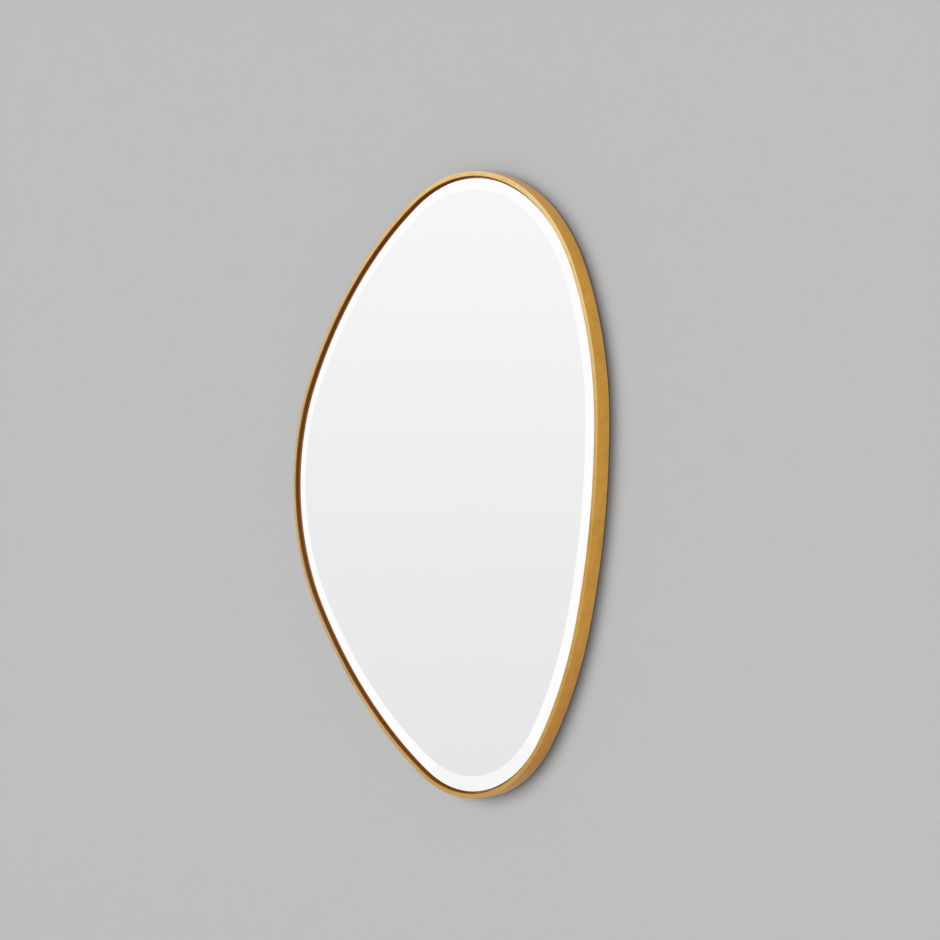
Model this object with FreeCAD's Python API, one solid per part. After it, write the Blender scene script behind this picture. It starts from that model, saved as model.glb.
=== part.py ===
import FreeCAD, Part
import math
import os

V = FreeCAD.Vector
os.makedirs("parts", exist_ok=True)

# Irregular wall mirror. X is to the right and Z is up for someone who faces the glass.
# The glass faces -Y. The wall is the plane Y = 0, and the origin is the middle of the outline on it.

# Outline of the frame, as the bar is rolled: eight bends, anticlockwise seen from the front.
# A turn is in degrees, and the eight turns are brought to one full turn.
# The upper left and lower left radii aren't set here: they are the two that close the ring.
START_HEADING = -15.7
RIGHT_TURN = 15.5
RIGHT_RADIUS = 967.0
UPPER_RIGHT_TURN = 25.5
UPPER_RIGHT_RADIUS = 466.0
TOP_TURN = 92.0
TOP_RADIUS = 252.0
UPPER_LEFT_TURN = 32.5
LEFT_TURN = 66.0
LEFT_RADIUS = 310.0
LOWER_LEFT_TURN = 28.0
BOTTOM_TURN = 81.5
BOTTOM_RADIUS = 202.5
LOWER_RIGHT_TURN = 19.0
LOWER_RIGHT_RADIUS = 529.5

# Frame bar
BAR_THICKNESS = 6.3
BAR_DEPTH = 21.0
BAR_EDGE_RADIUS = 0.8
WALL_STANDOFF = 2.5

# Mirror glass
FLAT_RECESS = 2.4
GLASS_THICKNESS = 5.0
GLASS_EDGE_THICKNESS = 3.0
GLASS_GAP = 3.0
BEVEL_WIDTH = 18.0
BEVEL_SHIFT_X = 2.5
BEVEL_SHIFT_Z = 2.5

# What lies behind the glass
COATING_THICKNESS = 0.2
TAPE_THICKNESS = 1.0
TAPE_WIDTH = 25.0
TAPE_LENGTH = 420.0
TAPE_SPACING = 130.0
TAPE_COUNT = 4
BOARD_THICKNESS = 6.0
BOARD_GAP = 1.0

# Lugs welded inside the bar, and the screws through them into the board
LUG_COUNT = 6
LUG_START = 170.0
LUG_WIDTH = 26.0
LUG_REACH = 24.0
LUG_THICKNESS = 2.0
LUG_CORNER_RADIUS = 5.0
LUG_HOLE_REACH = 14.0
SCREW_RADIUS = 1.75
SCREW_CLEARANCE = 0.25
PILOT_CLEARANCE = 0.05
SCREW_HEAD_RADIUS = 3.5
SCREW_HEAD_HEIGHT = 2.0
SCREW_TIP = 1.5
LUG_SCREW_LENGTH = 7.0
RECESS_LENGTH = 3.6
RECESS_WIDTH = 0.9
RECESS_DEPTH = 1.1

# Hangers: a folded strap on the board with a D-ring that swings in its eye
HANGER_SPACING = 400.0
HANGER_HEIGHT = 185.0
STRAP_WIDTH = 14.0
STRAP_THICKNESS = 1.2
STRAP_LENGTH = 48.0
STRAP_FIRST_HOLE = 27.0
STRAP_HOLE_SPACING = 13.0
STRAP_SCREW_LENGTH = 6.5
RING_WIRE_RADIUS = 1.25
RING_HALF_WIDTH = 11.0
RING_SIDE_LENGTH = 6.0
RING_CORNER_RADIUS = 3.0
RING_PLAY = 0.1
RING_LIFT = 0.3

# Rubber bumpers on the back of the board
BUMPER_COUNT = 4
BUMPER_START = 470.0
BUMPER_INSET = 32.0
BUMPER_BASE_RADIUS = 7.0
BUMPER_TOP_RADIUS = 6.0

# Planes that follow from those sizes, from the front to the wall
BAR_BACK_Y = -WALL_STANDOFF
BAR_FRONT_Y = BAR_BACK_Y - BAR_DEPTH
FLAT_Y = BAR_FRONT_Y + FLAT_RECESS
GLASS_BACK_Y = FLAT_Y + GLASS_THICKNESS
GLASS_EDGE_Y = GLASS_BACK_Y - GLASS_EDGE_THICKNESS
COATING_BACK_Y = GLASS_BACK_Y + COATING_THICKNESS
BOARD_FRONT_Y = COATING_BACK_Y + TAPE_THICKNESS
BOARD_BACK_Y = BOARD_FRONT_Y + BOARD_THICKNESS
LUG_BACK_Y = BOARD_BACK_Y + LUG_THICKNESS
STRAP_BACK_Y = BOARD_BACK_Y + STRAP_THICKNESS
RING_AXIS_Y = STRAP_BACK_Y + RING_LIFT + RING_WIRE_RADIUS

# Insets of each outline from the outer face of the bar
GLASS_INSET = BAR_THICKNESS + GLASS_GAP
FLAT_INSET = GLASS_INSET + BEVEL_WIDTH
BOARD_INSET = BAR_THICKNESS + BOARD_GAP


def toward(heading):
    """Unit vector in the plane of the mirror, heading degrees anticlockwise from +X."""
    angle = math.radians(heading)
    return V(math.cos(angle), 0, math.sin(angle))


def closing_radii(headings, radii):
    """Fill in the two radii left open, so that the end of the last bend meets the start of the first."""
    steps = [toward(last) - toward(first) for first, last in zip(headings, headings[1:])]
    gap = V(0, 0, 0)
    for step, radius in zip(steps, radii):
        if radius is not None:
            gap = gap + step * radius
    first, second = [index for index, radius in enumerate(radii) if radius is None]
    a = steps[first]
    b = steps[second]
    spread = a.x * b.z - a.z * b.x
    closed = list(radii)
    closed[first] = (gap.z * b.x - gap.x * b.z) / spread
    closed[second] = (gap.x * a.z - gap.z * a.x) / spread
    return closed


def rolled_bends():
    """Every bend as (centre, radius, first heading, last heading), the outline centred on the origin."""
    turns = [RIGHT_TURN, UPPER_RIGHT_TURN, TOP_TURN, UPPER_LEFT_TURN]
    turns += [LEFT_TURN, LOWER_LEFT_TURN, BOTTOM_TURN, LOWER_RIGHT_TURN]
    radii = [RIGHT_RADIUS, UPPER_RIGHT_RADIUS, TOP_RADIUS, None]
    radii += [LEFT_RADIUS, None, BOTTOM_RADIUS, LOWER_RIGHT_RADIUS]
    headings = [START_HEADING]
    for turn in turns:
        headings.append(headings[-1] + turn * 360.0 / sum(turns))
    radii = closing_radii(headings, radii)
    centre = V(0, 0, 0)
    bends = []
    for index, radius in enumerate(radii):
        if index > 0:
            centre = centre + toward(headings[index]) * (radii[index - 1] - radius)
        bends.append((centre, radius, headings[index], headings[index + 1]))
    middle_x = (outline_point(bends, 0).x + outline_point(bends, 180).x) / 2
    middle_z = (outline_point(bends, 90).z + outline_point(bends, 270).z) / 2
    middle = V(middle_x, 0, middle_z)
    return [(centre - middle, radius, first, last) for centre, radius, first, last in bends]


def outline_point(bends, heading, inset=0.0):
    """The point of the outline whose outward direction is the heading, moved in by inset."""
    start = bends[0][2]
    heading = start + (heading - start) % 360
    for centre, radius, first, last in bends:
        if first <= heading <= last:
            return centre + toward(heading) * (radius - inset)
    return None


def headings_along(bends, count, start):
    """Headings at even spaces along the outer face; start is the distance from the first bend's start."""
    lengths = [radius * math.radians(last - first) for centre, radius, first, last in bends]
    headings = []
    for number in range(count):
        distance = (start + number * sum(lengths) / count) % sum(lengths)
        for (centre, radius, first, last), length in zip(bends, lengths):
            if distance <= length:
                headings.append(first + math.degrees(distance / radius))
                break
            distance -= length
    return headings


def outline_wire(bends, inset, y):
    """Closed outline of tangent arcs, inset from the outer face of the bar, in the plane y."""
    arcs = []
    for centre, radius, first, last in bends:
        level = centre + V(0, y, 0)
        reach = radius - inset
        start = level + toward(first) * reach
        middle = level + toward((first + last) / 2) * reach
        end = level + toward(last) * reach
        arcs.append(Part.Arc(start, middle, end).toShape())
    return Part.Wire(arcs)


def outline_slab(bends, inset, front_y, back_y):
    """Flat plate with the outline, from one plane to the other."""
    face = Part.Face(outline_wire(bends, inset, front_y))
    return face.extrude(V(0, back_y - front_y, 0))


def box_between(low, high):
    """Box from its low corner to its high corner."""
    size = high - low
    return Part.makeBox(size.x, size.y, size.z, low)


def along_y(radius, front_y, back_y, at):
    """Round bar or hole along Y, on the axis through the point at."""
    base = V(at.x, front_y, at.z)
    return Part.makeCylinder(radius, back_y - front_y, base, V(0, 1, 0))


def turned_outward(shape, at, heading):
    """Turn a shape whose local +Z points out of the ring to the heading, and put its origin at the point."""
    placed = shape.copy()
    placed.rotate(V(0, 0, 0), V(0, 1, 0), 90 - heading)
    placed.translate(at)
    return placed


def frame_band(bends):
    """Flat bar on edge, rolled into the ring, welded shut and dressed, with its four long edges eased."""
    outer = outline_slab(bends, 0, BAR_FRONT_Y, BAR_BACK_Y)
    inner = outline_slab(bends, BAR_THICKNESS, BAR_FRONT_Y, BAR_BACK_Y)
    band = outer.cut(inner)
    long_edges = [edge for edge in band.Edges if edge.BoundBox.YLength < 0.01]
    return band.makeFillet(min(BAR_EDGE_RADIUS, BAR_THICKNESS / 3), long_edges)


def mirror_glass(bends):
    """Sheet of glass with a ground bevel that is widest at the lower left."""
    back = outline_wire(bends, GLASS_INSET, GLASS_BACK_Y)
    edge = outline_wire(bends, GLASS_INSET, GLASS_EDGE_Y)
    flat = outline_wire(bends, FLAT_INSET, FLAT_Y)
    flat.translate(V(BEVEL_SHIFT_X, 0, BEVEL_SHIFT_Z))
    return Part.makeLoft([back, edge, flat], True, True)


def tape_strip(number, middle_x):
    """One upright strip of double-sided foam tape between the coating and the board."""
    x = middle_x + (number - (TAPE_COUNT - 1) / 2) * TAPE_SPACING
    low = V(x - TAPE_WIDTH / 2, COATING_BACK_Y, -TAPE_LENGTH / 2)
    high = V(x + TAPE_WIDTH / 2, BOARD_FRONT_Y, TAPE_LENGTH / 2)
    return box_between(low, high)


def backing_board(bends, lug_holes, strap_holes):
    """Board that fills the ring behind the glass, with a pilot hole for every screw."""
    board = outline_slab(bends, BOARD_INSET, BOARD_FRONT_Y, BOARD_BACK_Y)
    pilot = SCREW_RADIUS + PILOT_CLEARANCE
    lug_bite = LUG_SCREW_LENGTH - LUG_THICKNESS
    strap_bite = STRAP_SCREW_LENGTH - STRAP_THICKNESS
    for at in lug_holes:
        board = board.cut(along_y(pilot, BOARD_BACK_Y - lug_bite, BOARD_BACK_Y, at))
    for at in strap_holes:
        board = board.cut(along_y(pilot, BOARD_BACK_Y - strap_bite, BOARD_BACK_Y, at))
    return board


def upright_edges_below(plate, z):
    """The edges through the thickness of a plate that lie at its foot, below z."""
    return [edge for edge in plate.Edges if edge.BoundBox.ZMax < z and edge.BoundBox.YLength > 0.01]


def fixing_lug(bends, heading):
    """Steel lug welded to the inner face of the bar, flat on the back of the board, with one screw hole."""
    low = V(-LUG_WIDTH / 2, BOARD_BACK_Y, -LUG_REACH)
    high = V(LUG_WIDTH / 2, LUG_BACK_Y, BAR_THICKNESS / 2)
    lug = box_between(low, high)
    lug = lug.makeFillet(LUG_CORNER_RADIUS, upright_edges_below(lug, 0.01 - LUG_REACH))
    hole = along_y(SCREW_RADIUS + SCREW_CLEARANCE, BOARD_BACK_Y, LUG_BACK_Y, V(0, 0, -LUG_HOLE_REACH))
    lug = turned_outward(lug.cut(hole), outline_point(bends, heading, BAR_THICKNESS), heading)
    return lug.common(outline_slab(bends, BAR_THICKNESS, BOARD_BACK_Y, LUG_BACK_Y))


def pan_screw(length, seat_y, at):
    """Pan-head wood screw seated at the plane seat_y, point toward the glass, with a cross recess."""
    head = along_y(SCREW_HEAD_RADIUS, 0, SCREW_HEAD_HEIGHT, V(0, 0, 0))
    rim = [edge for edge in head.Edges if edge.BoundBox.YMin > SCREW_HEAD_HEIGHT - 0.01]
    head = head.makeFillet(SCREW_HEAD_HEIGHT * 0.6, rim)
    shank = along_y(SCREW_RADIUS, SCREW_TIP - length, 0, V(0, 0, 0))
    tip = Part.makeCone(SCREW_RADIUS, SCREW_RADIUS / 5, SCREW_TIP, V(0, SCREW_TIP - length, 0), V(0, -1, 0))
    screw = head.fuse([shank, tip])
    floor_y = SCREW_HEAD_HEIGHT - RECESS_DEPTH
    slot_half = V(RECESS_LENGTH / 2, 0, RECESS_WIDTH / 2)
    cross_half = V(RECESS_WIDTH / 2, 0, RECESS_LENGTH / 2)
    for half in (slot_half, cross_half):
        screw = screw.cut(box_between(V(0, floor_y, 0) - half, V(0, SCREW_HEAD_HEIGHT, 0) + half))
    screw.translate(V(at.x, seat_y, at.z))
    return screw


def hanger_strap(axis, holes):
    """Strip folded round the bar of the D-ring: an eye at the top and a tail with two screw holes."""
    half = STRAP_WIDTH / 2
    foot = axis.z - STRAP_LENGTH
    plate = box_between(V(axis.x - half, BOARD_BACK_Y, foot), V(axis.x + half, STRAP_BACK_Y, axis.z))
    plate = plate.makeFillet(half * 0.9, upright_edges_below(plate, foot + 0.01))
    bore = RING_WIRE_RADIUS + RING_PLAY
    left_end = axis - V(half, 0, 0)
    eye = Part.makeCylinder(bore + STRAP_THICKNESS, STRAP_WIDTH, left_end, V(1, 0, 0))
    strap = plate.fuse(eye)
    strap = strap.cut(Part.makeCylinder(bore, STRAP_WIDTH, left_end, V(1, 0, 0)))
    for at in holes:
        strap = strap.cut(along_y(SCREW_RADIUS + SCREW_CLEARANCE, BOARD_BACK_Y, STRAP_BACK_Y, at))
    return strap.removeSplitter()


def ring_elbow(centre, start, sweep):
    """Part of a bent wire: a circle of the wire at start, swept round an axis along Y through the centre."""
    radial = start - centre
    direction = radial.cross(V(0, 1, 0))
    wire = Part.Face(Part.Wire(Part.makeCircle(RING_WIRE_RADIUS, start, direction)))
    return wire.revolve(centre, V(0, 1, 0), sweep)


def d_ring(axis):
    """Wire D hanging from its straight bar, which turns in the eye of the strap."""
    half = RING_HALF_WIDTH
    corner = RING_CORNER_RADIUS
    side_top = axis.z - corner
    side_foot = side_top - RING_SIDE_LENGTH
    straight = half - corner
    pieces = [Part.makeCylinder(RING_WIRE_RADIUS, 2 * straight, axis - V(straight, 0, 0), V(1, 0, 0))]
    for hand in (-1, 1):
        top = V(axis.x + hand * half, axis.y, side_top)
        pieces.append(Part.makeCylinder(RING_WIRE_RADIUS, RING_SIDE_LENGTH, top, V(0, 0, -1)))
        pieces.append(ring_elbow(V(axis.x + hand * straight, axis.y, side_top), top, -90 * hand))
    bow_centre = V(axis.x, axis.y, side_foot)
    pieces.append(ring_elbow(bow_centre, bow_centre + V(half, 0, 0), 180))
    return pieces[0].multiFuse(pieces[1:]).removeSplitter()


def rubber_bumper(bends, heading):
    """Tapered rubber foot from the back of the board to the wall."""
    at = outline_point(bends, heading, BAR_THICKNESS + BUMPER_INSET)
    base = V(at.x, BOARD_BACK_Y, at.z)
    return Part.makeCone(BUMPER_BASE_RADIUS, BUMPER_TOP_RADIUS, -BOARD_BACK_Y, base, V(0, 1, 0))


bends = rolled_bends()
coating = outline_slab(bends, GLASS_INSET, GLASS_BACK_Y, COATING_BACK_Y)
middle_x = coating.CenterOfMass.x

lug_headings = headings_along(bends, LUG_COUNT, LUG_START)
lug_holes = [outline_point(bends, heading, BAR_THICKNESS + LUG_HOLE_REACH) for heading in lug_headings]

ring_axes = [V(middle_x + hand * HANGER_SPACING / 2, RING_AXIS_Y, HANGER_HEIGHT) for hand in (-1, 1)]
hole_drops = [STRAP_FIRST_HOLE, STRAP_FIRST_HOLE + STRAP_HOLE_SPACING]
strap_holes = [axis - V(0, 0, drop) for axis in ring_axes for drop in hole_drops]

nodes = {"frame_band": frame_band(bends)}
for number, heading in enumerate(lug_headings, 1):
    nodes["fixing_lug_%d" % number] = fixing_lug(bends, heading)
nodes["mirror_glass"] = mirror_glass(bends)
nodes["mirror_coating"] = coating
for number in range(TAPE_COUNT):
    nodes["tape_strip_%d" % (number + 1)] = tape_strip(number, middle_x)
nodes["backing_board"] = backing_board(bends, lug_holes, strap_holes)
lug_screws = [pan_screw(LUG_SCREW_LENGTH, LUG_BACK_Y, at) for at in lug_holes]
nodes["lug_screws"] = Part.makeCompound(lug_screws)
for side, axis in zip(("left", "right"), ring_axes):
    nodes[side + "_hanger_strap"] = hanger_strap(axis, [axis - V(0, 0, drop) for drop in hole_drops])
    nodes[side + "_d_ring"] = d_ring(axis)
hanger_screws = [pan_screw(STRAP_SCREW_LENGTH, STRAP_BACK_Y, at) for at in strap_holes]
nodes["hanger_screws"] = Part.makeCompound(hanger_screws)
for number, heading in enumerate(headings_along(bends, BUMPER_COUNT, BUMPER_START), 1):
    nodes["bumper_%d" % number] = rubber_bumper(bends, heading)

for name, shape in nodes.items():
    shape.exportStep("parts/" + name + ".step")
    box = shape.optimalBoundingBox()
    size = (box.XLength, box.YLength, box.ZLength)
    print(name, "valid", shape.isValid(), "solids", len(shape.Solids), "size %.2f x %.2f x %.2f" % size)
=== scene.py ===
import math

import bmesh
import bpy
import numpy as np
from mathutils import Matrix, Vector


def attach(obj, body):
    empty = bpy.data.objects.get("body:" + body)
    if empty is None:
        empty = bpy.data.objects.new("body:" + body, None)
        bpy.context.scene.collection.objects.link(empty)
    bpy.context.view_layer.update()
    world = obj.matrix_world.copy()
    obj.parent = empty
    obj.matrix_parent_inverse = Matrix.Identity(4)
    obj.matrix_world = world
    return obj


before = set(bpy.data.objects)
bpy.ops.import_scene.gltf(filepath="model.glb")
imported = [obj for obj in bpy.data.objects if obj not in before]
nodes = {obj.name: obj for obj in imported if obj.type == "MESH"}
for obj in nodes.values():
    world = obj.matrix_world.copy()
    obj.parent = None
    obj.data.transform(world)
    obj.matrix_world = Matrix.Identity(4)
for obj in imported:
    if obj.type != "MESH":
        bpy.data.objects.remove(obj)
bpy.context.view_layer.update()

MM = 0.001

# Frame band: a flat steel bar on edge, rolled through eight bends and welded into one closed ring.
# Gold leaf is laid over its front and sides, rubbed along the bar to a satin grain and lacquered.
# Its inner wall is coloured dark umber as painted shade, with a brighter gold deeper in the gap as painted
# light, and the back edge and what lies behind the board stay in dark primer. Its rim and sides also carry
# painted light and shade by place, with a painted highlight on the front corner toward the upper right.
BAR_THICKNESS = 6.3 * MM
BAR_FRONT = -23.5 * MM
BAR_BACK = -2.5 * MM
BOARD_FRONT = -14.9 * MM
OUTLINE_WAVES = 14
OUTLINE_SLICE = math.radians(3)
LACQUER_TINT = (0.98, 0.86, 0.68)
LACQUER_WEIGHT = 0.65
LACQUER_ROUGHNESS = 0.3
LEAF_SCALE = 4.0
LEAF_STEP = 0.08
SEAM_COLOUR = (0.30, 0.13, 0.03)
SEAM_COVER = 0.05
SEAM_WIDTH = 0.004
GRAIN_ALONG = 9.0
GRAIN_ACROSS = 1500.0
MOTTLE_SIZE = 11 * MM
DRIFT_SIZE = 90 * MM
GRAIN_SHARE = 0.30
MOTTLE_SHARE = 0.42
DRIFT_SHARE = 0.34
LEAF_RELIEF = 0.03 * MM
GOLD = [(0.25, (0.685, 0.385, 0.086)), (0.53, (0.785, 0.460, 0.122)), (0.82, (0.86, 0.535, 0.170))]
# Painted light and shade on the outer sides: brighter than the rim, darker toward the wall and toward the
# foot
SIDE_PAINTED_LIGHT = (1.26, 1.10, 0.56)
WALL_END_SHADE = 0.90
FOOT_PAINTED_SHADE = (0.79, 0.67, 0.76)
# Painted light and shade on the rim: darker in its lower part and on the left, paler toward the top
LOW_RIM_PAINTED_SHADE = (0.76, 0.72, 0.48)
LEFT_RIM_PAINTED_SHADE = (0.78, 0.84, 1.05)
TOP_RIM_PAINTED_LIGHT = (1.12, 1.32, 2.0)
# A painted highlight on the bar's front corner toward the upper right
ARRIS_PAINTED_HIGHLIGHT = (1.0, 0.80, 0.38)
# Painted shade and light on the inner wall: dark umber near the front, a brighter gold deeper in the gap
INNER_WALL_PAINTED_SHADE = (0.33, 0.135, 0.022)
GAP_PAINTED_LIGHT = (0.78, 0.34, 0.045)
PRIMER = (0.022, 0.017, 0.013)
BOUNCE_GREY = (0.36, 0.36, 0.36)
BOUNCE_SHARE = 0.8
FACES_IN = (-0.45, -0.75)  # 1 is straight out from the middle of the ring, and -1 straight in
FACES_OUT = (0.55, 0.85)
INNER_HALF = (-0.02, -0.15)
FRONT_CORNER = (-0.10, -0.30)
UPPER_PART = (-0.05, 0.32)
LOWER_PART = (-0.08, -0.40)
LEFT_PART = (0.05, -0.15)
LEFT_LIFT = 0.45
SIDE_FADE = (BAR_FRONT + 4 * MM, BAR_BACK)
GAP_FADE = (BAR_FRONT + 2.5 * MM, BAR_FRONT + 6.0 * MM)
PRIMED_INSIDE = (BOARD_FRONT + 1.0 * MM, BOARD_FRONT + 2.5 * MM)
PRIMED_BACK = (BAR_BACK - 0.15 * MM, BAR_BACK - 0.05 * MM)


def start_finish(name, metallic, roughness):
    """A new finish and its shader, before colour and grain are added."""
    finish = bpy.data.materials.new(name)
    finish.use_nodes = True
    shader = finish.node_tree.nodes["Principled BSDF"]
    shader.inputs["Metallic"].default_value = metallic
    shader.inputs["Roughness"].default_value = roughness
    return finish, shader


def feed(finish, socket, value):
    """A socket takes a plain value, or the output of another node."""
    if isinstance(value, bpy.types.NodeSocket):
        finish.node_tree.links.new(value, socket)
    else:
        socket.default_value = value


def add(finish, kind, inputs=None, **settings):
    """One node with its settings, and its inputs by name or by place in the list."""
    made = finish.node_tree.nodes.new("ShaderNode" + kind)
    for name, value in settings.items():
        setattr(made, name, value)
    for key, value in (inputs or {}).items():
        feed(finish, made.inputs[key], value)
    return made


def work_out(finish, operation, *terms, **settings):
    """One step of arithmetic on numbers and sockets."""
    made = add(finish, "Math", dict(enumerate(terms)), operation=operation, **settings)
    return made.outputs[0]


def on_piece(finish, stretch=(1.0, 1.0, 1.0)):
    """The place on the piece in metres, stretched along the axes."""
    place = add(finish, "TexCoord").outputs["Object"]
    return add(finish, "VectorMath", {0: place, 1: stretch}, operation="MULTIPLY").outputs[0]


def cloud(finish, place, size, detail=3.0, rough=0.55):
    """Soft random variation whose features are about this many metres across."""
    inputs = {"Vector": place, "Scale": 1.0 / size, "Detail": detail, "Roughness": rough}
    return add(finish, "TexNoise", inputs).outputs[0]


def between(finish, amount, low, high, start=0.0, end=1.0):
    """Follow amount from start to end with a number from low to high."""
    inputs = {"Value": amount, "From Min": start, "From Max": end, "To Min": low, "To Max": high}
    return add(finish, "MapRange", inputs).outputs[0]


def tint(finish, amount, stops):
    """Colours along amount, given as (position, colour)."""
    ramp = add(finish, "ValToRGB", {0: amount})
    while len(ramp.color_ramp.elements) < len(stops):
        ramp.color_ramp.elements.new(0.5)
    for element, (position, colour) in zip(ramp.color_ramp.elements, stops):
        element.position = position
        element.color = (*colour, 1.0)
    return ramp.outputs[0]


def mix_colours(finish, amount, first, second, how="MIX"):
    """The second colour over the first, or multiplied with it, as far as amount says."""
    inputs = {0: amount, 1: first, 2: second}
    return add(finish, "MixRGB", inputs, blend_type=how).outputs[0]


def relief(finish, shader, height, depth):
    """Raise the surface by up to depth metres where height is 1."""
    bump = add(finish, "Bump", {"Height": height, "Distance": depth, "Strength": 1.0})
    feed(finish, shader.inputs["Normal"], bump.outputs[0])


def dress(name, finish):
    """Give a node of the frame its finish."""
    nodes[name].data.materials.clear()
    nodes[name].data.materials.append(finish)


band_points = np.array([corner.co for corner in nodes["frame_band"].data.vertices])
band_angles = np.arctan2(band_points[:, 2], band_points[:, 0])
band_reach = np.hypot(band_points[:, 0], band_points[:, 2])
slices = np.floor(band_angles / OUTLINE_SLICE).astype(int)
outer = [max(np.flatnonzero(slices == part), key=lambda corner: band_reach[corner])
         for part in np.unique(slices)]
turns = np.arange(1, OUTLINE_WAVES + 1)
lay = np.outer(band_angles[outer], turns)
table = np.hstack([np.ones((len(outer), 1)), np.cos(lay), np.sin(lay)])
fitted = np.linalg.lstsq(table, band_reach[outer], rcond=None)[0]
mean_reach = float(fitted[0])
wave_sizes = np.hypot(fitted[1:OUTLINE_WAVES + 1], fitted[OUTLINE_WAVES + 1:])
wave_starts = np.arctan2(fitted[OUTLINE_WAVES + 1:], fitted[1:OUTLINE_WAVES + 1])


def outline_reach(angle):
    """How far the outer face of the bar is from the middle, at an angle from +X."""
    return mean_reach + sum(size * math.cos(turn * angle - start)
                            for turn, size, start in zip(turns, wave_sizes, wave_starts))


gold, gold_shader = start_finish("gold_leaf", 1.0, 0.4)
gold_shader.inputs["Specular Tint"].default_value = (*LACQUER_TINT, 1.0)
gold_shader.inputs["Coat Weight"].default_value = LACQUER_WEIGHT
gold_shader.inputs["Coat Roughness"].default_value = LACQUER_ROUGHNESS
across_x, across_y, across_z = add(gold, "SeparateXYZ", {0: on_piece(gold)}).outputs
angle = work_out(gold, "ARCTAN2", across_z, across_x)
reach = work_out(gold, "SQRT", work_out(
    gold, "ADD", work_out(gold, "MULTIPLY", across_x, across_x),
    work_out(gold, "MULTIPLY", across_z, across_z)))
outline = mean_reach
for turn, size, start in zip(turns, wave_sizes, wave_starts):
    swing = work_out(gold, "MULTIPLY_ADD", angle, float(turn), -float(start))
    wave = work_out(gold, "COSINE", swing)
    outline = work_out(gold, "MULTIPLY_ADD", wave, float(size), outline)
inset = work_out(gold, "SUBTRACT", outline, reach)
girth = work_out(gold, "SUBTRACT", inset, across_y)
along_x = work_out(gold, "DIVIDE", across_x, reach)
along_z = work_out(gold, "DIVIDE", across_z, reach)
along_bar = add(gold, "CombineXYZ", {0: along_x, 1: along_z}).outputs[0]
grain_place = add(gold, "CombineXYZ", {
    0: work_out(gold, "MULTIPLY", along_x, GRAIN_ALONG),
    1: work_out(gold, "MULTIPLY", along_z, GRAIN_ALONG),
    2: work_out(gold, "MULTIPLY", girth, GRAIN_ACROSS)}).outputs[0]
grain = cloud(gold, grain_place, 1.0, 4.0, 0.6)
mottle = cloud(gold, on_piece(gold), MOTTLE_SIZE, 4.0, 0.6)
drift = cloud(gold, on_piece(gold), DRIFT_SIZE, 2.0)
sheets = {"Vector": along_bar, "Scale": LEAF_SCALE}
leaf_edge = add(gold, "TexVoronoi", sheets, feature="DISTANCE_TO_EDGE").outputs[0]
leaf_tone = add(gold, "TexVoronoi", sheets).outputs["Color"]
tone = between(gold, leaf_tone, -LEAF_STEP, LEAF_STEP)
for pattern, start, end, share in ((grain, 0.25, 0.75, GRAIN_SHARE), (mottle, 0.28, 0.72, MOTTLE_SHARE),
                                   (drift, 0.25, 0.75, DRIFT_SHARE)):
    tone = work_out(gold, "MULTIPLY_ADD", between(gold, pattern, 0.0, 1.0, start, end), share, tone)
leaf_colour = tint(gold, tone, GOLD)
seam = between(gold, leaf_edge, SEAM_COVER, 0.0, 0.0, SEAM_WIDTH)
leaf_colour = mix_colours(gold, seam, leaf_colour, (*SEAM_COLOUR, 1.0))
behind = between(gold, across_y, 0.0, 1.0, *PRIMED_BACK)
deep = between(gold, across_y, 0.0, 1.0, *PRIMED_INSIDE)
faces = add(gold, "SeparateXYZ", {0: add(gold, "TexCoord").outputs["Normal"]}).outputs
outward = work_out(gold, "MULTIPLY_ADD", faces[0], along_x, work_out(gold, "MULTIPLY", faces[2], along_z))
inside = between(gold, outward, 0.0, 1.0, *FACES_IN)
outside = between(gold, outward, 0.0, 1.0, *FACES_OUT)
leftward = between(gold, across_x, 0.0, 1.0, *LEFT_PART)
lift = between(gold, across_z, 0.0, 1.0, *UPPER_PART)
lift = work_out(gold, "MULTIPLY", lift, between(gold, leftward, 1.0, LEFT_LIFT))
# Painted light and shade on the rim: darker in its lower part and on the left, paler toward the top
rim_painted_light_and_shade = mix_colours(gold, leftward, (*LOW_RIM_PAINTED_SHADE, 1.0), (*LEFT_RIM_PAINTED_SHADE, 1.0))
rim_painted_light_and_shade = mix_colours(gold, lift, rim_painted_light_and_shade, (*TOP_RIM_PAINTED_LIGHT, 1.0))
# Painted light and shade on the outer sides: brighter than the rim, darker toward the wall and toward the
# foot
to_wall = between(gold, across_y, 0.0, 1.0, *SIDE_FADE)
side_painted_shade_at_wall = tuple(WALL_END_SHADE * part for part in SIDE_PAINTED_LIGHT)
side_painted_light_and_shade = mix_colours(gold, to_wall, (*SIDE_PAINTED_LIGHT, 1.0), (*side_painted_shade_at_wall, 1.0))
to_foot = between(gold, across_z, 0.0, 1.0, *LOWER_PART)
side_painted_light_and_shade = mix_colours(gold, to_foot, side_painted_light_and_shade, (*FOOT_PAINTED_SHADE, 1.0), "MULTIPLY")
# The painted light and shade of rim and sides is multiplied into the leaf colour
face_painted_light_and_shade = mix_colours(gold, outside, rim_painted_light_and_shade, side_painted_light_and_shade)
leaf_with_painted_light = mix_colours(gold, 1.0, leaf_colour, face_painted_light_and_shade, "MULTIPLY")
# Painted highlight: the front corner of the bar is made pale toward the upper right
corner_highlight_mask = between(gold, work_out(gold, "MULTIPLY", outward, faces[1]), 0.0, 1.0, *FRONT_CORNER)
upper_right = work_out(gold, "MULTIPLY_ADD", leftward, -1.0, lift)
corner_highlight_mask = work_out(gold, "MULTIPLY", corner_highlight_mask, upper_right, use_clamp=True)
leaf_with_painted_light = mix_colours(gold, corner_highlight_mask, leaf_with_painted_light, (*ARRIS_PAINTED_HIGHLIGHT, 1.0))
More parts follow.
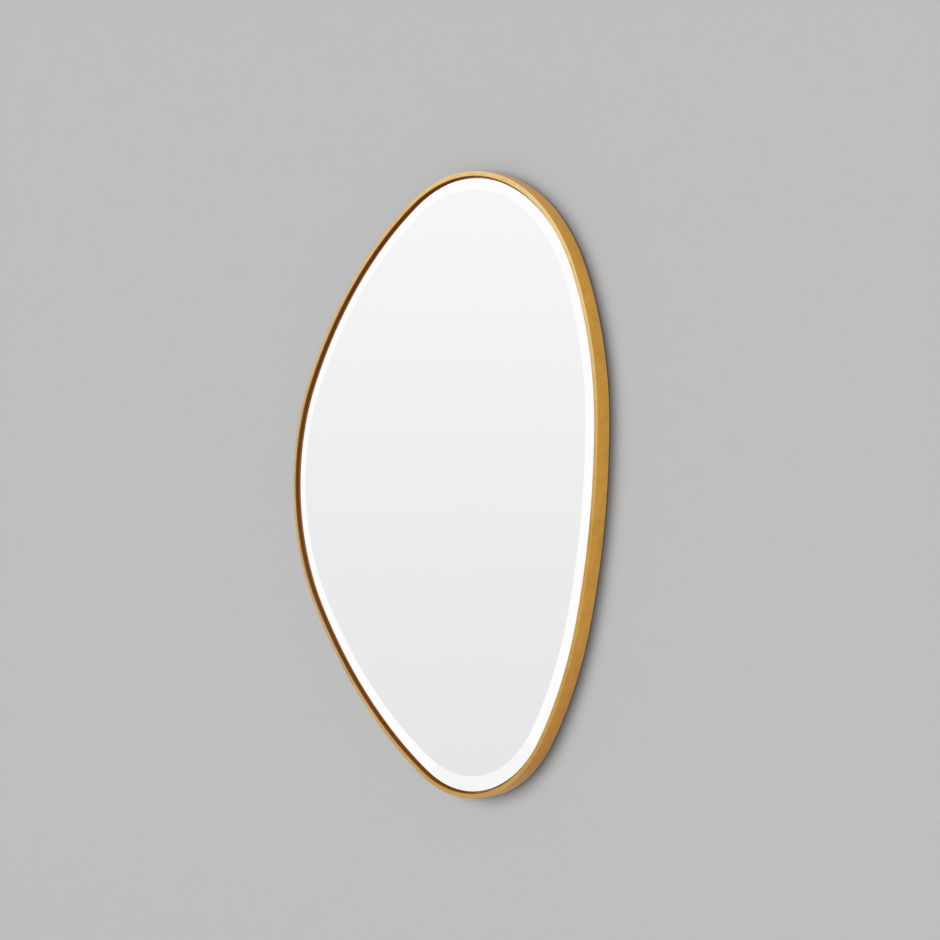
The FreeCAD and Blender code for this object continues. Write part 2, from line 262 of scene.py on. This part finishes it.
# Painted shade and light on the inner wall: dark umber near the front, a brighter gold deeper in the gap
in_gap = between(gold, across_y, 0.0, 1.0, *GAP_FADE)
inner_wall_painted_light_and_shade = mix_colours(gold, in_gap, (*INNER_WALL_PAINTED_SHADE, 1.0), (*GAP_PAINTED_LIGHT, 1.0))
leaf_colour = mix_colours(gold, inside, leaf_with_painted_light, inner_wall_painted_light_and_shade)
bounced = work_out(gold, "MULTIPLY", add(gold, "LightPath").outputs["Is Diffuse Ray"], BOUNCE_SHARE)
leaf_colour = mix_colours(gold, bounced, leaf_colour, (*BOUNCE_GREY, 1.0))
inner_half = between(gold, outward, 0.0, 1.0, *INNER_HALF)
primed = work_out(gold, "MAXIMUM", behind, work_out(gold, "MULTIPLY", deep, inner_half))
feed(gold, gold_shader.inputs["Base Color"], mix_colours(gold, primed, leaf_colour, (*PRIMER, 1.0)))
feed(gold, gold_shader.inputs["Metallic"], between(gold, primed, 1.0, 0.0))
rubbed = work_out(gold, "MULTIPLY_ADD", grain, 0.16, between(gold, mottle, 0.24, 0.38))
rubbed = work_out(gold, "MULTIPLY_ADD", inside, 0.25, rubbed)
feed(gold, gold_shader.inputs["Roughness"], work_out(gold, "MULTIPLY_ADD", primed, 0.2, rubbed))
relief(gold, gold_shader, work_out(gold, "MULTIPLY_ADD", grain, 0.7, mottle), LEAF_RELIEF)
dress("frame_band", gold)

# Fixing lugs: six steel tabs, each with rounded inner corners and one clearance hole.
# They are welded inside the bar before the leaf is laid, and brushed with the same dark primer.
# A short rippled weld bead runs along the root of each on its back.
BEAD_RADIUS = 2.1 * MM
BEAD_END = 2.0 * MM
BEAD_RIPPLE = 1.5 * MM
BEAD_STEP = 0.3 * MM
BEAD_FACETS = 8
BEAD_SUNK = 0.35 * MM
BEAD_SWELL = 0.07
PRIMED_STEEL = [(0.3, (0.014, 0.012, 0.010)), (0.75, (0.034, 0.028, 0.023))]
BARE_STEEL = (0.22, 0.20, 0.18)

primed_steel, primer_shader = start_finish("primed_steel", 0.0, 0.5)
steel_place = on_piece(primed_steel)
brushed = cloud(primed_steel, steel_place, 3.5 * MM, 4.0, 0.6)
scuffs = cloud(primed_steel, on_piece(primed_steel, (1.0, 1.0, 0.25)), 1.2 * MM, 5.0, 0.7)
primer_tone = tint(primed_steel, brushed, PRIMED_STEEL)
bare = between(primed_steel, scuffs, 0.0, 0.55, 0.70, 0.80)
feed(primed_steel, primer_shader.inputs["Base Color"],
     mix_colours(primed_steel, bare, primer_tone, (*BARE_STEEL, 1.0)))
feed(primed_steel, primer_shader.inputs["Metallic"], bare)
feed(primed_steel, primer_shader.inputs["Roughness"], between(primed_steel, brushed, 0.38, 0.62))
relief(primed_steel, primer_shader, brushed, 0.12 * MM)


def weld_bead(number):
    """The bead along the root of one lug, laid in the corner of lug and bar."""
    lug = np.array([corner.co for corner in nodes["fixing_lug_%d" % number].data.vertices])
    back = lug[lug[:, 1] > lug[:, 1].max() - 0.1 * MM]
    angles = np.arctan2(back[:, 2], back[:, 0])
    depth = np.array([outline_reach(turned) for turned in angles]) - np.hypot(back[:, 0], back[:, 2])
    root = back[depth < BAR_THICKNESS + 1.0 * MM]
    root = root[np.argsort(np.unwrap(np.arctan2(root[:, 2], root[:, 0])))]
    first, last = Vector(root[0]), Vector(root[-1])
    along = (last - first).normalized()
    inward = Vector((-along.z, 0, along.x))
    if inward.dot(first) > 0:
        inward = -inward
    middle = Vector(root[len(root) // 2])
    sag = (middle - first).dot(-inward) if len(root) > 2 else 0.0
    length = (last - first).length - 2 * BEAD_END
    count = int(length / BEAD_STEP)
    mesh = bmesh.new()
    rows = []
    for step in range(count + 1):
        run = length * step / count
        share = run / length
        corner = first + along * (BEAD_END + run) - inward * (sag * 4 * share * (1 - share))
        end = min(run, length - run)
        size = BEAD_RADIUS * min(1.0, math.sqrt(end / BEAD_RADIUS + 0.02))
        ripple = 2 * math.pi * run / BEAD_RIPPLE + 0.8 * math.sin(run / (4 * BEAD_RIPPLE))
        size *= 1.0 + BEAD_SWELL * math.sin(ripple)
        corner = corner - inward * BEAD_SUNK - Vector((0, BEAD_SUNK, 0))
        row = [mesh.verts.new(corner)]
        for facet in range(BEAD_FACETS + 1):
            lean = math.pi / 2 * facet / BEAD_FACETS
            reach_in = (size + BEAD_SUNK) * math.cos(lean)
            reach_up = (size + BEAD_SUNK) * math.sin(lean)
            row.append(mesh.verts.new(corner + inward * reach_in + Vector((0, reach_up, 0))))
        rows.append(row)
    for row, following in zip(rows, rows[1:]):
        for side in range(len(row)):
            other = (side + 1) % len(row)
            mesh.faces.new((row[side], row[other], following[other], following[side]))
    mesh.faces.new(rows[0])
    mesh.faces.new(list(reversed(rows[-1])))
    bmesh.ops.recalc_face_normals(mesh, faces=mesh.faces)
    data = bpy.data.meshes.new("weld_bead_%d" % number)
    mesh.to_mesh(data)
    mesh.free()
    for face in data.polygons:
        face.use_smooth = True
    bead = bpy.data.objects.new("weld_bead_%d" % number, data)
    bpy.context.scene.collection.objects.link(bead)
    return bead


for number in range(1, 7):
    dress("fixing_lug_%d" % number, primed_steel)
    bead = weld_bead(number)
    bead.data.materials.append(primed_steel)
    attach(bead, "mirror")

# Mirror glass: one 5 mm sheet of float glass, silvered behind, with an 18 mm bevel ground and polished.
# It is cut 3 mm smaller than the inside of the ring. Its thin ground edge is coloured amber, a painted
# reflection of the gold inner wall.
SILVER = [(0.0, (0.968, 0.975, 0.970)), (1.0, (0.978, 0.982, 0.979))]
# Painted reflection: the amber of the gold inner wall on the ground edge
EDGE_PAINTED_REFLECTION = [(0.2, (0.26, 0.13, 0.045)), (0.8, (0.42, 0.23, 0.09))]
FACES_FRONT = (0.45, 0.55)
silvered, silver_shader = start_finish("silvered_glass", 1.0, 0.02)
facing = add(silvered, "SeparateXYZ", {0: add(silvered, "TexCoord").outputs["Normal"]}).outputs[1]
face_on = between(silvered, work_out(silvered, "ABSOLUTE", facing), 0.0, 1.0, *FACES_FRONT)
pull_lines = cloud(silvered, on_piece(silvered, (1.0, 1.0, 0.2)), 60 * MM, 1.0)
haze = cloud(silvered, on_piece(silvered), 45 * MM, 5.0, 0.6)
ground = cloud(silvered, on_piece(silvered), 0.4 * MM, 2.0)
# Painted reflection of the gold inner wall on the ground edge
edge_painted_reflection = tint(silvered, ground, EDGE_PAINTED_REFLECTION)
feed(silvered, silver_shader.inputs["Base Color"],
     mix_colours(silvered, face_on, edge_painted_reflection, tint(silvered, haze, SILVER)))
feed(silvered, silver_shader.inputs["Metallic"], face_on)
polish = between(silvered, haze, 0.008, 0.030, 0.35, 0.75)
rough_edge = between(silvered, face_on, 0.38, 0.0)
feed(silvered, silver_shader.inputs["Roughness"], work_out(silvered, "MAXIMUM", polish, rough_edge))
relief(silvered, silver_shader, pull_lines, 0.004 * MM)
dress("mirror_glass", silvered)

# Coating: the silvering and the two coats of grey-blue protective paint poured over it.
# It covers the whole back of the glass and shows only as a thin line at the ground edge.
PAINT = [(0.3, (0.115, 0.145, 0.165)), (0.7, (0.150, 0.180, 0.200))]
back_paint, paint_shader = start_finish("back_paint", 0.0, 0.5)
orange_peel = cloud(back_paint, on_piece(back_paint), 1.6 * MM, 2.0)
pour = cloud(back_paint, on_piece(back_paint), 70 * MM, 3.0)
feed(back_paint, paint_shader.inputs["Base Color"], tint(back_paint, pour, PAINT))
feed(back_paint, paint_shader.inputs["Roughness"], between(back_paint, orange_peel, 0.42, 0.58))
relief(back_paint, paint_shader, orange_peel, 0.02 * MM)
dress("mirror_coating", back_paint)

# Tape: four upright strips of white double-sided foam tape, pressed on, which carry the glass on the board.
# The foam is closed-cell, so its cut edges look finely pitted.
FOAM = [(0.3, (0.62, 0.61, 0.58)), (0.7, (0.76, 0.75, 0.72))]
CELL_SIZE = 0.35 * MM
foam, foam_shader = start_finish("foam_tape", 0.0, 0.85)
cells = add(foam, "TexVoronoi", {"Vector": on_piece(foam), "Scale": 1 / CELL_SIZE}).outputs[0]
press = cloud(foam, on_piece(foam), 12 * MM)
feed(foam, foam_shader.inputs["Base Color"], tint(foam, press, FOAM))
feed(foam, foam_shader.inputs["Roughness"], between(foam, cells, 0.72, 0.92))
relief(foam, foam_shader, cells, 0.08 * MM)
for number in range(1, 5):
    dress("tape_strip_%d" % number, foam)

# Backing board: 6 mm fibreboard cut to fill the ring. Its back is painted black with a roller, and has a
# few greyer rubs from handling. Its front is coloured bronze where it shows in the gap round the glass:
# painted shade, standing for the gold inner wall in shadow there.
# Painted shade: the bronze stands for the gold inner wall in shadow, seen in the gap
GAP_PAINTED_SHADE_BRONZE = (0.78, 0.210, 0.004)
BLACK = [(0.35, (0.014, 0.014, 0.015)), (0.62, (0.024, 0.024, 0.025)), (0.80, (0.050, 0.049, 0.047))]
FIBRE = (0.055, 0.050, 0.044)
GAP_SHADE_FRONT_DEPTHS = (BOARD_FRONT + 0.3 * MM, BOARD_FRONT + 0.8 * MM)
black_paint, board_shader = start_finish("black_board_paint", 0.0, 0.62)
stipple = cloud(black_paint, on_piece(black_paint), 1.1 * MM, 3.0, 0.6)
fibres = cloud(black_paint, on_piece(black_paint, (1.0, 1.0, 0.35)), 0.5 * MM, 4.0, 0.7)
rubs = cloud(black_paint, on_piece(black_paint, (0.5, 1.0, 1.6)), 55 * MM, 6.0, 0.65)
fleck = between(black_paint, fibres, 0.0, 0.35, 0.66, 0.80)
board_tone = mix_colours(black_paint, fleck, tint(black_paint, rubs, BLACK), (*FIBRE, 1.0))
board_depth = add(black_paint, "SeparateXYZ", {0: on_piece(black_paint)}).outputs[1]
# Painted shade on the board's front, where it shows in the gap round the glass
front = between(black_paint, board_depth, 1.0, 0.0, *GAP_SHADE_FRONT_DEPTHS)
board_tone = mix_colours(black_paint, front, board_tone, (*GAP_PAINTED_SHADE_BRONZE, 1.0))
feed(black_paint, board_shader.inputs["Base Color"], board_tone)
feed(black_paint, board_shader.inputs["Roughness"], between(black_paint, rubs, 0.74, 0.52, 0.3, 0.8))
grainy = work_out(black_paint, "MULTIPLY_ADD", fibres, 0.5, stipple)
relief(black_paint, board_shader, grainy, 0.09 * MM)
dress("backing_board", black_paint)

# Screws: zinc-plated pan heads with a pressed cross, six through the lugs and four through the straps.
# The plating is bright with a faint yellow cast, and duller in patches.
ZINC = [(0.3, (0.52, 0.51, 0.46)), (0.7, (0.72, 0.71, 0.66))]
zinc, zinc_shader = start_finish("zinc_plate", 1.0, 0.3)
patches = cloud(zinc, on_piece(zinc), 1.8 * MM, 4.0, 0.6)
turned_marks = cloud(zinc, on_piece(zinc, (1.0, 3.0, 1.0)), 0.25 * MM, 2.0)
feed(zinc, zinc_shader.inputs["Base Color"], tint(zinc, patches, ZINC))
feed(zinc, zinc_shader.inputs["Roughness"], between(zinc, patches, 0.22, 0.44))
relief(zinc, zinc_shader, turned_marks, 0.015 * MM)
dress("lug_screws", zinc)
dress("hanger_screws", zinc)

# Hanger straps: nickel-plated steel strip, folded into an eye round the bar of the ring, with two screw
# holes. The strip is brushed along its length before it is folded.
STRIP_NICKEL = [(0.3, (0.50, 0.475, 0.43)), (0.7, (0.66, 0.635, 0.59))]
strip, strip_shader = start_finish("nickel_strip", 1.0, 0.3)
brush_lines = cloud(strip, on_piece(strip, (1.0, 1.0, 0.03)), 0.30 * MM, 3.0, 0.6)
tarnish = cloud(strip, on_piece(strip), 9 * MM, 4.0, 0.6)
feed(strip, strip_shader.inputs["Base Color"], tint(strip, tarnish, STRIP_NICKEL))
satin = work_out(strip, "MULTIPLY_ADD", brush_lines, 0.16, between(strip, tarnish, 0.16, 0.30))
feed(strip, strip_shader.inputs["Roughness"], satin)
relief(strip, strip_shader, brush_lines, 0.012 * MM)
dress("left_hanger_strap", strip)
dress("right_hanger_strap", strip)

# D-rings: nickel-plated wire bent into a D, its straight bar free to turn in the eye of the strap.
# The wire keeps faint drawing lines, and its plating is brighter than the strap's.
WIRE_NICKEL = [(0.3, (0.60, 0.575, 0.535)), (0.7, (0.74, 0.72, 0.68))]
wire, wire_shader = start_finish("nickel_wire", 1.0, 0.2)
draw_lines = cloud(wire, on_piece(wire), 0.5 * MM, 3.0, 0.6)
worn = cloud(wire, on_piece(wire), 4 * MM, 3.0)
feed(wire, wire_shader.inputs["Base Color"], tint(wire, worn, WIRE_NICKEL))
feed(wire, wire_shader.inputs["Roughness"], between(wire, worn, 0.14, 0.28))
relief(wire, wire_shader, draw_lines, 0.008 * MM)
dress("left_d_ring", wire)
dress("right_d_ring", wire)

# Bumpers: four tapered feet of moulded black rubber, stuck to the back of the board.
# They stand the frame's back 2.5 mm off the wall, which is the shadow line round it.
RUBBER = [(0.35, (0.018, 0.018, 0.019)), (0.75, (0.042, 0.041, 0.040))]
rubber, rubber_shader = start_finish("black_rubber", 0.0, 0.7)
moulded = cloud(rubber, on_piece(rubber), 0.6 * MM, 3.0)
bloom = cloud(rubber, on_piece(rubber), 5 * MM, 3.0)
feed(rubber, rubber_shader.inputs["Base Color"], tint(rubber, bloom, RUBBER))
feed(rubber, rubber_shader.inputs["Roughness"], between(rubber, bloom, 0.6, 0.8))
relief(rubber, rubber_shader, moulded, 0.04 * MM)
for number in range(1, 5):
    dress("bumper_%d" % number, rubber)

# Wall: flat grey emulsion paint, and the plane that the bumpers rest on. It isn't part of the mirror.
# It is cut out behind the mirror, well inside the outline, and clear from behind, so the back can be seen.
WALL_SIDE = 3.2
WALL_TOP = 2.4
FLOOR_LEVEL = -1.35
HOLE_INSET = 30 * MM
HOLE_SIDES = 96
EMULSION = [(0.0, (0.508, 0.508, 0.508)), (1.0, (0.522, 0.522, 0.522))]
WALL_IN_METAL = (0.515, 0.515, 0.515)


def stage_mesh(name, corners, faces, finish):
    """A wall or floor that isn't part of the object."""
    data = bpy.data.meshes.new(name)
    data.from_pydata(corners, [], faces)
    data.materials.append(finish)
    made = bpy.data.objects.new(name, data)
    bpy.context.scene.collection.objects.link(made)
    return made


def clear_from_back(finish, shader, in_metal):
    """Matt paint that metal shows as one plain tone, and that can be seen through from its back."""
    mirrored = add(finish, "LightPath").outputs["Is Glossy Ray"]
    plain = add(finish, "Emission", {"Color": (*in_metal, 1.0), "Strength": 1.0}).outputs[0]
    painted = add(finish, "MixShader", {0: mirrored, 1: shader.outputs[0], 2: plain}).outputs[0]
    from_back = add(finish, "NewGeometry").outputs["Backfacing"]
    clear = add(finish, "BsdfTransparent").outputs[0]
    one_sided = add(finish, "MixShader", {0: from_back, 1: painted, 2: clear}).outputs[0]
    feed(finish, finish.node_tree.nodes["Material Output"].inputs["Surface"], one_sided)


def to_wall_edge(angle):
    """The point where a line from the middle at this angle leaves the wall."""
    x, z = math.cos(angle), math.sin(angle)
    side = WALL_SIDE / abs(x) if x else math.inf
    level = (WALL_TOP / z if z > 0 else FLOOR_LEVEL / z) if z else math.inf
    far = min(side, level)
    return (x * far, 0.0, z * far)


emulsion, emulsion_shader = start_finish("wall_emulsion", 0.0, 0.9)
roller = cloud(emulsion, on_piece(emulsion), 2.5 * MM, 3.0)
emulsion_shader.inputs["Specular IOR Level"].default_value = 0.0
feed(emulsion, emulsion_shader.inputs["Base Color"], tint(emulsion, roller, EMULSION))
relief(emulsion, emulsion_shader, roller, 0.03 * MM)
clear_from_back(emulsion, emulsion_shader, WALL_IN_METAL)

wall_corner = math.atan2(WALL_TOP, WALL_SIDE)
floor_corner = math.atan2(FLOOR_LEVEL, WALL_SIDE)
spokes = [2 * math.pi * step / HOLE_SIDES for step in range(HOLE_SIDES)]
spokes += [wall_corner, math.pi - wall_corner, math.pi - floor_corner, 2 * math.pi + floor_corner]
spokes.sort()
hole = [(outline_reach(turn) - HOLE_INSET, turn) for turn in spokes]
wall_points = [(far * math.cos(turn), 0.0, far * math.sin(turn)) for far, turn in hole]
wall_points += [to_wall_edge(turn) for turn in spokes]
total = len(spokes)
wall_faces = [(i, total + i, total + (i + 1) % total, (i + 1) % total) for i in range(total)]
wall = stage_mesh("wall", wall_points, wall_faces, emulsion)
wall.visible_diffuse = False
wall.visible_shadow = False

# Floor: pale, plain and matt, well below the mirror. It isn't part of the mirror either.
# It is clear from below, and throws no shadow on the wall.
FLOOR_SIDE = 3.2
SCREED = [(0.0, (0.78, 0.78, 0.775)), (1.0, (0.82, 0.82, 0.815))]
FLOOR_IN_METAL = (0.95, 0.95, 0.95)
pale, pale_shader = start_finish("pale_floor", 0.0, 0.9)
pale_shader.inputs["Specular IOR Level"].default_value = 0.0
screed = cloud(pale, on_piece(pale), 30 * MM, 4.0)
feed(pale, pale_shader.inputs["Base Color"], tint(pale, screed, SCREED))
relief(pale, pale_shader, screed, 0.05 * MM)
clear_from_back(pale, pale_shader, FLOOR_IN_METAL)
floor_points = [(-FLOOR_SIDE, -FLOOR_SIDE, FLOOR_LEVEL), (FLOOR_SIDE, -FLOOR_SIDE, FLOOR_LEVEL),
                (FLOOR_SIDE, FLOOR_SIDE, FLOOR_LEVEL), (-FLOOR_SIDE, FLOOR_SIDE, FLOOR_LEVEL)]
floor = stage_mesh("floor", floor_points, [(0, 1, 2, 3)], pale)
floor.visible_shadow = False

# Room light: an even white studio. What the mirror and the gold reflect is white too, apart from soft
# grey panels in front and to each side. The flat glass shows these, a little darker toward the floor.
AMBIENT = (0.41, 0.41, 0.41)
BACKDROP = (0.86, 0.86, 0.86)
PANEL_SPACING = 52.19
PANEL_HALF_WIDTH = (5.0, 9.0)
OTHER_PANELS = 0.64
PANEL_TOP = (8.5, 12.0)
PANEL_FOOT = (-9.5, -13.0)
PANEL_TONES = [(0.0, 0.812), (0.5, 0.872), (1.0, 0.948)]
PANEL_LEVELS = (-8.5, 8.0)

room = bpy.data.worlds.new("studio")
bpy.context.scene.world = room
room.use_nodes = True
look = add(room, "SeparateXYZ", {0: add(room, "TexCoord").outputs["Generated"]}).outputs
forward = work_out(room, "MULTIPLY", look[1], -1.0)
heading = work_out(room, "DEGREES", work_out(room, "ARCTAN2", look[0], forward))
level = work_out(room, "DEGREES", work_out(room, "ARCSINE", look[2]))
panel = work_out(room, "ROUND", work_out(room, "DIVIDE", heading, PANEL_SPACING))
panel_middle = work_out(room, "MULTIPLY", panel, PANEL_SPACING)
off = work_out(room, "ABSOLUTE", work_out(room, "SUBTRACT", heading, panel_middle))
other = work_out(room, "GREATER_THAN", work_out(room, "ABSOLUTE", work_out(room, "ADD", panel, 1.0)), 0.5)
off = work_out(room, "MULTIPLY", off, between(room, other, 1.0, OTHER_PANELS))


def soft_step(amount, ends):
    """From 1 at the first end to 0 at the second, without a hard edge."""
    inputs = {"Value": amount, "From Min": ends[0], "From Max": ends[1], "To Min": 1.0, "To Max": 0.0}
    return add(room, "MapRange", inputs, interpolation_type="SMOOTHSTEP").outputs[0]


covered = work_out(room, "MULTIPLY", soft_step(off, PANEL_HALF_WIDTH),
                   work_out(room, "MULTIPLY", soft_step(level, PANEL_TOP), soft_step(level, PANEL_FOOT)))
greys = [(position, (shade, shade, shade)) for position, shade in PANEL_TONES]
panel_tone = tint(room, between(room, level, 0.0, 1.0, *PANEL_LEVELS), greys)
seen = mix_colours(room, covered, (1.0, 1.0, 1.0, 1.0), panel_tone)
paths = add(room, "LightPath").outputs
sharp = work_out(room, "MAXIMUM", paths["Is Glossy Ray"], paths["Is Transmission Ray"])
sharp = work_out(room, "MULTIPLY", sharp, work_out(room, "LESS_THAN", paths["Diffuse Depth"], 0.5))
shown = mix_colours(room, sharp, (*AMBIENT, 1.0), seen)
shown = mix_colours(room, paths["Is Camera Ray"], shown, (*BACKDROP, 1.0))
feed(room, room.node_tree.nodes["Background"].inputs["Color"], shown)

# Key light: a very large soft source to the left of the mirror and a little above it, even across the
# whole wall. It throws the frame's soft shadow to the right, and a little way down.
KEY_HEADING = -29.0
KEY_LEVEL = 10.0
KEY_SPREAD = 50.0
KEY_STRENGTH = 2.15
key = bpy.data.lights.new("key_light", "SUN")
key.energy = KEY_STRENGTH
key.angle = math.radians(KEY_SPREAD)
key_light = bpy.data.objects.new("key_light", key)
aside, rise = math.radians(KEY_HEADING), math.radians(KEY_LEVEL)
source = Vector((math.sin(aside) * math.cos(rise), -math.cos(aside) * math.cos(rise), math.sin(rise)))
key_light.rotation_mode = "QUATERNION"
key_light.rotation_quaternion = (-source).to_track_quat("-Z", "Y")
key_light.visible_glossy = False
bpy.context.scene.collection.objects.link(key_light)

# Camera: level with the middle of the mirror and well round to its right, as in the photograph.
# It looks a little past the mirror's middle, which stands left of the middle of the picture.
CAMERA_HEADING = 52.188
CAMERA_DISTANCE = 2806 * MM
CAMERA_HEIGHT = 20.4 * MM
FOCAL_PIXELS = 2018.0
PIXELS_PAST = 27.5
IMAGE_WIDTH = 940.0
SENSOR_WIDTH = 36.0
lens = bpy.data.cameras.new("camera")
lens.sensor_width = SENSOR_WIDTH
lens.lens = SENSOR_WIDTH * FOCAL_PIXELS / IMAGE_WIDTH
camera = bpy.data.objects.new("camera", lens)
round_by = math.radians(CAMERA_HEADING)
camera.location = (CAMERA_DISTANCE * math.sin(round_by),
                   BAR_BACK - CAMERA_DISTANCE * math.cos(round_by), CAMERA_HEIGHT)
camera.rotation_euler = (math.pi / 2, 0.0, round_by - math.atan(PIXELS_PAST / FOCAL_PIXELS))
bpy.context.scene.collection.objects.link(camera)
bpy.context.scene.camera = camera
bpy.context.scene.view_settings.view_transform = "Standard"
